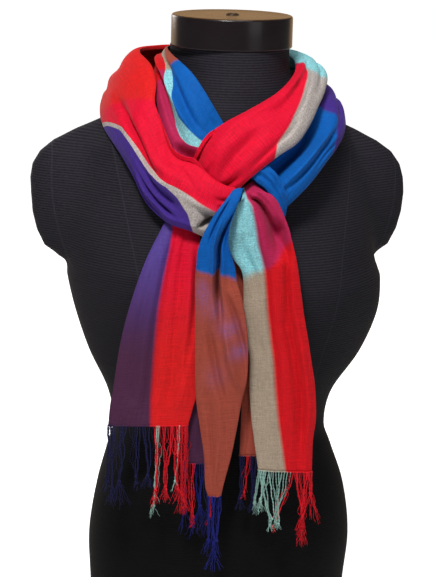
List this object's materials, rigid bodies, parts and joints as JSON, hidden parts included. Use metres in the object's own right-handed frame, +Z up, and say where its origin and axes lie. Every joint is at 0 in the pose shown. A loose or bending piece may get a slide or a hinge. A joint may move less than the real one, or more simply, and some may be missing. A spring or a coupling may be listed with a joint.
{
  "type": "scarf on a dress form",
  "caption": "Striped fringed scarf, folded double and looped round the neck of a plain limbless dress form that stands on a flat base.",
  "frame": {"origin": "on the flat underside of the dress form, on the upright axis of its torso", "axes": "+Z up the form; the knot and the hanging ends face -Y; +X to the right of a viewer who faces the knot"},
  "size_m": [0.3802, 0.2503, 0.6368],
  "materials": {
    "form_cover": "fine black knit",
    "cap_plastic": "satin black",
    "cloth_red": "crimson woven stripe",
    "cloth_violet": "violet and blue woven stripe",
    "cloth_blue": "blue woven stripe",
    "cloth_brown": "rust woven stripe",
    "cloth_plum": "plum woven stripe",
    "yarn_navy": "twisted navy yarn",
    "yarn_blue": "twisted royal blue yarn",
    "yarn_mint": "twisted mint yarn",
    "yarn_red": "twisted red yarn"
  },
  "bodies": {
    "root": {"form_torso": "form_cover", "neck_cap": "cap_plastic", "wrap_outer_left": "cloth_red", "wrap_outer_right": "cloth_violet", "wrap_inner_left": "cloth_blue", "wrap_inner_right": "cloth_red", "knot_lobe": "cloth_blue", "tail_left": "cloth_red", "tail_middle": "cloth_brown", "tail_right": "cloth_red", "tail_under_left": "cloth_plum", "tail_under_right": "cloth_brown", "fringe_left": "yarn_navy", "fringe_middle": "yarn_blue", "fringe_right": "yarn_mint", "fringe_under_left": "yarn_red", "fringe_under_right": "yarn_blue"}
  },
  "joints": []
}
